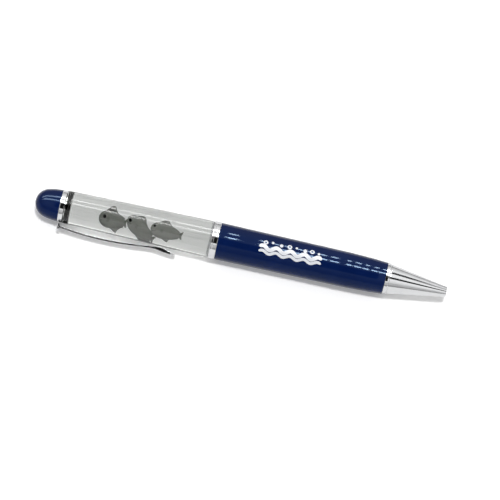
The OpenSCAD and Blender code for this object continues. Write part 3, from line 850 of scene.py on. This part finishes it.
def printed_ribbon(line, half_width):
    """Ribbon of ink along a line of (station, rise) points, swelling from its ends."""
    rows = []
    for i, (station, rise) in enumerate(line):
        heading = (Vector(line[min(i + 1, len(line) - 1)]) - Vector(line[max(i - 1, 0)])).normalized()
        ends = min(i, len(line) - 1 - i) / print_taper_steps
        half = half_width * math.sqrt(max(1 - max(1 - ends, 0) ** 2, print_end_share))
        rows.append(inked_row([
            (station - heading.y * half * v, rise + heading.x * half * v) for v in (-1, -0.5, 0, 0.5, 1)]))
    return lofted(rows)


def printed_dot(station, rise, radius, hole=0.0):
    """Round bubble of ink, open in its middle where hole is above 0."""
    rows = []
    for k in range(print_bubble_sides + 1):
        a = 2 * math.pi * k / print_bubble_sides
        rows.append(inked_row([
            (station + r * math.cos(a), rise + r * math.sin(a))
            for r in (radius, 0.5 * (radius + hole), hole + print_least_hole)]))
    return lofted(rows)


ornament = []
print_run = print_end - print_start
for shift, half_width, swell in print_waves:
    ornament.append(printed_ribbon([
        (print_start + print_run * k / print_wave_steps,
         shift + swell * math.sin(2 * math.pi * print_wave_count * k / print_wave_steps))
        for k in range(print_wave_steps + 1)], half_width))
for share, rise, radius, hole in print_bubbles:
    ornament.append(printed_dot(print_start + print_run * share, rise, radius, hole))
ornament_points, ornament_faces = [], []
for points, faces in ornament:
    ornament_faces += [[len(ornament_points) + k for k in face] for face in faces]
    ornament_points += points
pad_ink = Finish("pad_print_white")
speck = pad_ink.cloud(0.35, 4.0)
pad_print = pad_ink.surface({
    "Base Color": pad_ink.mix(speck.over(0.6, 0.72), print_white, print_worn),
    "Roughness": 0.3 + speck * 0.12, "Normal": pad_ink.bump(pad_ink.cloud(0.2), 0.003, 0.4)})
made("wave_print", (ornament_points, ornament_faces), pad_print, "lower_half", [])

# Nose cone: turned from brass, polished and plated, with a collar and a fine groove before the taper. Its
# spigot is pushed into the barrel, and the point of the refill comes out through its mouth.
spigot_start, nose_end = span("nose_cone")
spigot_radius = 3.95
spigot_edge = 0.2
collar_start = 119.42
collar_end = 120.6
collar_radius = 5.22
collar_start_edge = 0.08
collar_end_edge = 0.14
taper_start = 120.85
taper_radius = 5.02
taper_edge = 0.06
nose_bore = 2.7
nose_end_radius = 1.7
nose_end_edge = 0.12
mouth_start = 135.9
mouth_radius = 1.295
mouth_edge = 0.08
# Corners of the groove: how far past the collar, and the radius there.
nose_groove = ((0.02, 4.84), (0.24, 4.82))
nose_chrome = chrome_finish("nose_chrome", (3.0, 0.2, 0.2))
nose_section = eased([
    (spigot_start, nose_bore), (spigot_start, spigot_radius, spigot_edge), (collar_start, spigot_radius),
    (collar_start, collar_radius, collar_start_edge), (collar_end, collar_radius, collar_end_edge),
    *[(collar_end + run, radius) for run, radius in nose_groove],
    (taper_start, taper_radius, taper_edge), (nose_end, nose_end_radius, nose_end_edge),
    (nose_end, mouth_radius, mouth_edge), (mouth_start, mouth_radius), (taper_start, nose_bore)], 4)
made("nose_shell", turned(nose_section), nose_chrome, "lower_half", ["nose_cone"])

# Table and light: a white table in a white light tent, lit from above. Two rows of small lamps along the
# pen leave dashed glints, dimmer and unbroken over the tube, and the tent has dark gaps, one of them for
# the camera that looks in.
view_from = round_pen(view_clock)
picture_up = -round_pen(view_clock + 90)
camera_roll = math.radians(12.6)
camera_distance = 1.0
camera_lens = 215.7
camera_right = math.cos(camera_roll) * along + math.sin(camera_roll) * picture_up
camera_up = math.cos(camera_roll) * picture_up - math.sin(camera_roll) * along
aim_station = 73.3
aim_drop = 0.63
aim = place(aim_station) - aim_drop * mm * camera_up
white = (1, 1, 1, 1)
table_white = (0.90, 0.90, 0.90, 1)
painted_light_far_grey = (0.08, 0.08, 0.08, 1)
table_reach = 3
tent_light = 0.40
tent_light_through = 0.50
key_share = 0.62
key_width = 9
key_tilt = 11


def staged(name, points, faces, material):
    """Puts up a prop that isn't part of the pen."""
    mesh = bpy.data.meshes.new(name)
    mesh.from_pydata(points, [], faces)
    mesh.materials.append(material)
    prop = bpy.data.objects.new(name, mesh)
    bpy.context.scene.collection.objects.link(prop)
    return prop


def seen_by(finish, shares):
    """Strength of a glow that only the named kinds of ray see, each at its share."""
    strength = 0.0
    for ray, share in shares.items():
        strength = strength + finish.node("LightPath", output=ray) * share
    return strength


table = Finish("white_table")
matte = table.node("BsdfDiffuse", {}, {"Color": table_white})
glow = table.node("Emission", {}, {
    "Color": white, "Strength": seen_by(table, {"Is Camera Ray": 0.22, "Is Glossy Ray": 0.06})})
# Painted light: to rays that come through the clear tube, the table glows white in a strip along the pen
# and dim grey further out, standing in for the light that the tube lets through onto the table.
beside = abs(table.node("SeparateXYZ", {}, {0: table.spot()}, "Y") - pen_end.y).over(0.008, 0.024)
painted_light_under_pen = table.node("Emission", {}, {
    "Color": table.mix(beside, white, painted_light_far_grey),
    "Strength": seen_by(table, {"Is Transmission Ray": 0.45})})
lifted = table.node("AddShader", {}, {0: glow, 1: painted_light_under_pen})
table.node("OutputMaterial", {}, {"Surface": table.node("AddShader", {}, {0: matte, 1: lifted})})
table_corners = [
    (table_reach * x, table_reach * y, 0) for x, y in ((-1, -1), (1, -1), (1, 1), (-1, 1))]
staged("table_top", table_corners, [(0, 1, 2, 3)], table.holder)

tent = Finish("tent", bpy.data.worlds.new("tent"))
bpy.context.scene.world = tent.holder
facing = tent.node("TexCoord", output="Generated")
height = tent.node("SeparateXYZ", {}, {0: facing}, "Z")
wall = height.over(0.0, 0.35) * 0.32 + height.over(0.25, 0.8) * 0.45 + 0.30
direct = tent.node("LightPath", output="Is Camera Ray")
through = tent.node("LightPath", output="Is Transmission Ray")
spread = tent.node("LightPath", output="Diffuse Depth").over(0.0, 1.0)
seen = wall * (1 - direct) + direct
strength = seen * (1 - spread) + spread * (tent_light + through * tent_light_through)
tent.node("OutputWorld", {}, {
    "Surface": tent.node("Background", {}, {"Color": white, "Strength": strength})})

key = bpy.data.lights.new("overhead_key", "SUN")
key.energy = key_share * math.pi
key.angle = math.radians(key_width)
overhead = bpy.data.objects.new("overhead_key", key)
overhead.rotation_euler = (math.radians(key_tilt), 0, 0)
overhead.visible_glossy = overhead.visible_transmission = False
bpy.context.scene.collection.objects.link(overhead)

pen_middle = place(nose_end / 2)
lamp_distance = 0.300
lamp_half_width = 0.021
lamp_spread_share = 0.28
lamp_tilts = {"over": 34.1, "behind": 62.1}
# Stretches of lamps along the pen, in metres from its middle, with the brightness and length of a lamp
# in either row.
lamp_stretches = {
    "cap": {"start": -0.624, "count": 104, "pitch": 0.0052,
            "over": (44.0, 0.0027), "behind": (44.0, 0.0027)},
    "tube": {"start": -0.0832, "count": 13, "pitch": 0.0052,
             "over": (9.0, 0.0052), "behind": (9.0, 0.0052)},
    "ring": {"start": -0.0156, "count": 1, "pitch": 0.0052,
             "over": (44.0, 0.0027), "behind": (44.0, 0.0027)},
    "shoulder": {"start": -0.0038, "count": 1, "pitch": 0.0052,
                 "over": (56.0, 0.0043), "behind": (38.0, 0.0043)},
    "print": {"start": 0.0104, "count": 7, "pitch": 0.0052,
              "over": (50.0, 0.0040), "behind": (40.0, 0.0030)},
    "barrel": {"start": 0.05252, "count": 8, "pitch": 0.01092,
               "over": (50.0, 0.0078), "behind": (40.0, 0.0057)}}
for stretch, lay in lamp_stretches.items():
    for row, tilt in lamp_tilts.items():
        name = "lamp_row_" + row + "_" + stretch
        brightness, length = lay[row]
        lamp = Finish(name)
        spread = lamp.node("LightPath", output="Diffuse Depth").over(0.0, 1.0)
        strength = (1 - spread * (1 - lamp_spread_share)) * brightness
        lamp.node("OutputMaterial", {}, {
            "Surface": lamp.node("Emission", {}, {"Color": white, "Strength": strength})})
        ray = round_pen(view_clock - tilt)
        wide = along.cross(ray) * lamp_half_width
        points, faces = [], []
        for k in range(lay["count"]):
            start = pen_middle + lamp_distance * ray + along * (lay["start"] + lay["pitch"] * k)
            end = start + along * length
            faces.append([len(points) + corner for corner in range(4)])
            points += [start - wide, start + wide, end + wide, end - wide]
        lamps = staged(name, points, faces, lamp.holder)
        lamps.visible_camera = lamps.visible_diffuse = lamps.visible_shadow = False

gap_distance = 0.33
gap_tones = {"dark": 0.012, "dim": 0.42}
# Openings of the tent: start and end along the pen, in metres, and their two edges round it, in degrees.
gap_openings = {
    "dark": ((-0.14, 0.10, 18.5, -20.5), (0.11, 0.30, -5.0, -20.0), (0.164, 0.181, -48.0, -66.0)),
    "dim": ((0.181, 0.30, -44.0, -64.0), (-0.40, 0.40, 57.0, 60.0), (-0.40, 0.40, 31.5, 34.5))}
for tone, grey in gap_tones.items():
    gap = Finish("tent_gap_" + tone)
    cloth = gap.node("BsdfDiffuse", {}, {"Color": (grey, grey, grey, 1)})
    gap.node("OutputMaterial", {}, {"Surface": cloth})
    points, faces = [], []
    for start, end, low, high in gap_openings[tone]:
        faces.append([len(points) + corner for corner in range(4)])
        for run, clock in ((start, low), (end, low), (end, high), (start, high)):
            points.append(pen_middle + run * along + gap_distance * round_pen(view_clock + clock))
    screen = staged("camera_gap_" + tone, points, faces, gap.holder)
    screen.visible_camera = screen.visible_shadow = screen.visible_diffuse = False

lens = bpy.data.cameras.new("pen_camera")
lens.lens = camera_lens
lens.clip_start = 0.01
camera = bpy.data.objects.new("pen_camera", lens)
bpy.context.scene.collection.objects.link(camera)
stand = Matrix((camera_right, camera_up, view_from)).transposed().to_4x4()
stand.translation = aim + view_from * camera_distance
camera.matrix_world = stand
bpy.context.scene.camera = camera
bpy.context.scene.view_settings.view_transform = "Standard"
